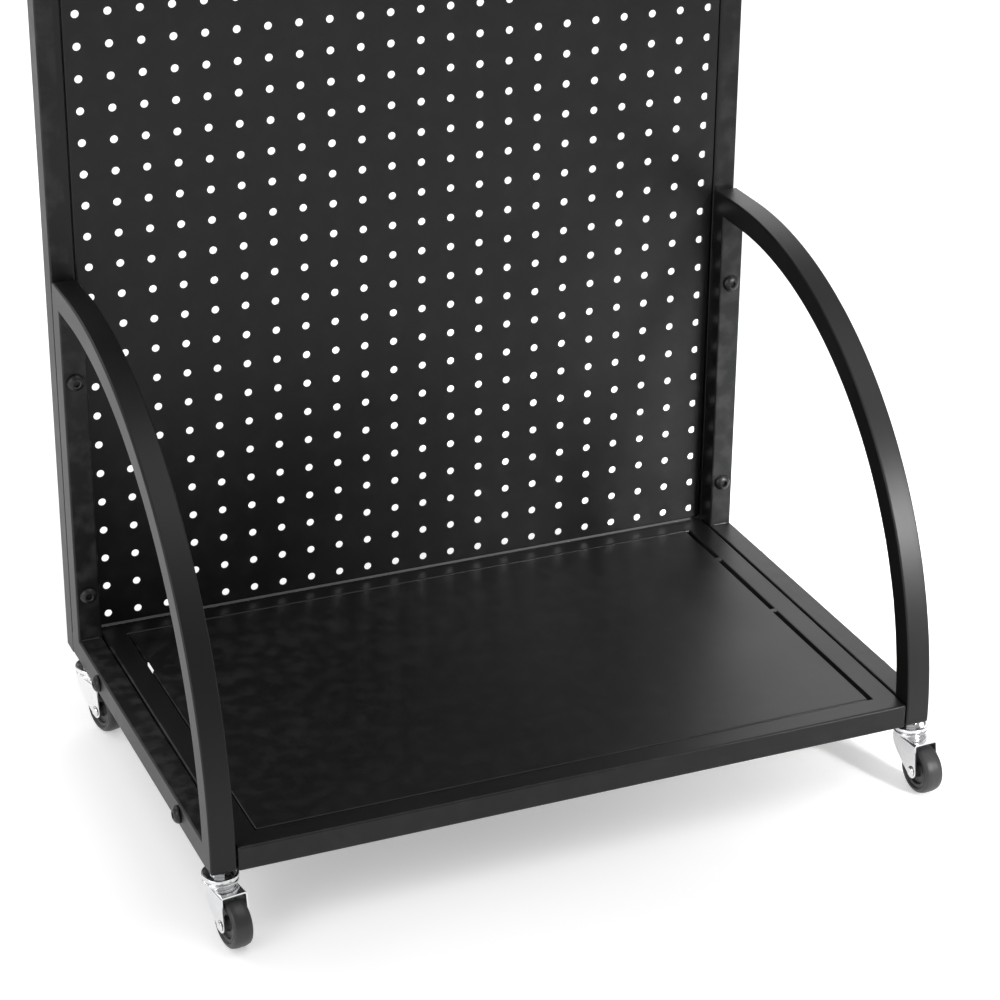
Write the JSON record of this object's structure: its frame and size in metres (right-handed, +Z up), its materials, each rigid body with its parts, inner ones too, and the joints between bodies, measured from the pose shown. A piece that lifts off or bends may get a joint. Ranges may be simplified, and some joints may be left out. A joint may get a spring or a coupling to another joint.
{
  "type": "mobile pegboard gondola display unit",
  "caption": "Mobile retail display unit: perforated steel back panel in a square-tube frame, a low steel shelf between arched side frames, on small swivel casters.",
  "frame": {"origin": "middle of the footprint on the floor, caster wheels included", "axes": "+X to the right as seen from the shelf side, -Y out of the front, +Z up"},
  "size_m": [0.6068, 0.4176, 1.49],
  "materials": {
    "black_powder_coat": "satin black powder coat with a fine grain",
    "bolt_black": "black oxide, slightly glossy",
    "bright_zinc": "bright zinc plate",
    "plain_steel": "plain steel",
    "black_plastic": "moulded, matte",
    "wheel_plastic": "moulded, matte",
    "tyre_rubber": "smooth moulded rubber"
  },
  "bodies": {
    "root": {"back_post_left": "black_powder_coat", "back_post_right": "black_powder_coat", "back_bottom_rail": "black_powder_coat", "back_top_rail": "black_powder_coat", "post_cap_left": "black_plastic", "post_cap_right": "black_plastic", "pegboard_panel": "black_powder_coat", "side_upright_left": "black_powder_coat", "side_bottom_rail_left": "black_powder_coat", "side_arch_left": "black_powder_coat", "side_upright_right": "black_powder_coat", "side_bottom_rail_right": "black_powder_coat", "side_arch_right": "black_powder_coat", "shelf_front_rail": "black_powder_coat", "shelf_rear_rail": "black_powder_coat", "shelf_left_rail": "black_powder_coat", "shelf_right_rail": "black_powder_coat", "shelf_sheet": "black_powder_coat", "upright_bolt_left_lower": "bolt_black", "post_nut_left_lower": "plain_steel", "upright_bolt_left_upper": "bolt_black", "post_nut_left_upper": "plain_steel", "shelf_bolt_left_front": "bolt_black", "shelf_nut_left_front": "plain_steel", "shelf_bolt_left_rear": "bolt_black", "shelf_nut_left_rear": "plain_steel", "upright_bolt_right_lower": "bolt_black", "post_nut_right_lower": "plain_steel", "upright_bolt_right_upper": "bolt_black", "post_nut_right_upper": "plain_steel", "shelf_bolt_right_front": "bolt_black", "shelf_nut_right_front": "plain_steel", "shelf_bolt_right_rear": "bolt_black", "shelf_nut_right_rear": "plain_steel", "caster_stem_front_left": "bright_zinc", "caster_nut_front_left": "plain_steel", "caster_stem_front_right": "bright_zinc", "caster_nut_front_right": "plain_steel", "caster_stem_rear_left": "bright_zinc", "caster_nut_rear_left": "plain_steel", "caster_stem_rear_right": "bright_zinc", "caster_nut_rear_right": "plain_steel"},
    "fork_front_left": {"caster_fork_front_left": "bright_zinc", "caster_axle_front_left": "bright_zinc"},
    "wheel_front_left": {"caster_wheel_front_left": "wheel_plastic", "caster_tyre_front_left": "tyre_rubber"},
    "fork_front_right": {"caster_fork_front_right": "bright_zinc", "caster_axle_front_right": "bright_zinc"},
    "wheel_front_right": {"caster_wheel_front_right": "wheel_plastic", "caster_tyre_front_right": "tyre_rubber"},
    "fork_rear_left": {"caster_fork_rear_left": "bright_zinc", "caster_axle_rear_left": "bright_zinc"},
    "wheel_rear_left": {"caster_wheel_rear_left": "wheel_plastic", "caster_tyre_rear_left": "tyre_rubber"},
    "fork_rear_right": {"caster_fork_rear_right": "bright_zinc", "caster_axle_rear_right": "bright_zinc"},
    "wheel_rear_right": {"caster_wheel_rear_right": "wheel_plastic", "caster_tyre_rear_right": "tyre_rubber"}
  },
  "joints": [
    {"name": "swivel_front_left", "type": "hinge", "parent": "root", "child": "fork_front_left", "pos_m": [-0.288, -0.168, 0.045], "axis": [0, 0, 1], "continuous": true},
    {"name": "roll_front_left", "type": "hinge", "parent": "fork_front_left", "child": "wheel_front_left", "pos_m": [-0.28522, -0.1878, 0.0195], "axis": [0.9903, 0.1392, 0], "continuous": true},
    {"name": "swivel_front_right", "type": "hinge", "parent": "root", "child": "fork_front_right", "pos_m": [0.288, -0.168, 0.045], "axis": [0, 0, 1], "continuous": true},
    {"name": "roll_front_right", "type": "hinge", "parent": "fork_front_right", "child": "wheel_front_right", "pos_m": [0.2894, -0.18795, 0.0195], "axis": [0.9976, 0.0698, 0], "continuous": true},
    {"name": "swivel_rear_left", "type": "hinge", "parent": "root", "child": "fork_rear_left", "pos_m": [-0.288, 0.17, 0.045], "axis": [0, 0, 1], "continuous": true},
    {"name": "roll_rear_left", "type": "hinge", "parent": "fork_rear_left", "child": "wheel_rear_left", "pos_m": [-0.28282, 0.15068, 0.0195], "axis": [0.9659, 0.2588, 0], "continuous": true},
    {"name": "swivel_rear_right", "type": "hinge", "parent": "root", "child": "fork_rear_right", "pos_m": [0.288, 0.17, 0.045], "axis": [0, 0, 1], "continuous": true},
    {"name": "roll_rear_right", "type": "hinge", "parent": "fork_rear_right", "child": "wheel_rear_right", "pos_m": [0.29147, 0.1503, 0.0195], "axis": [0.9848, 0.1736, 0], "continuous": true}
  ]
}
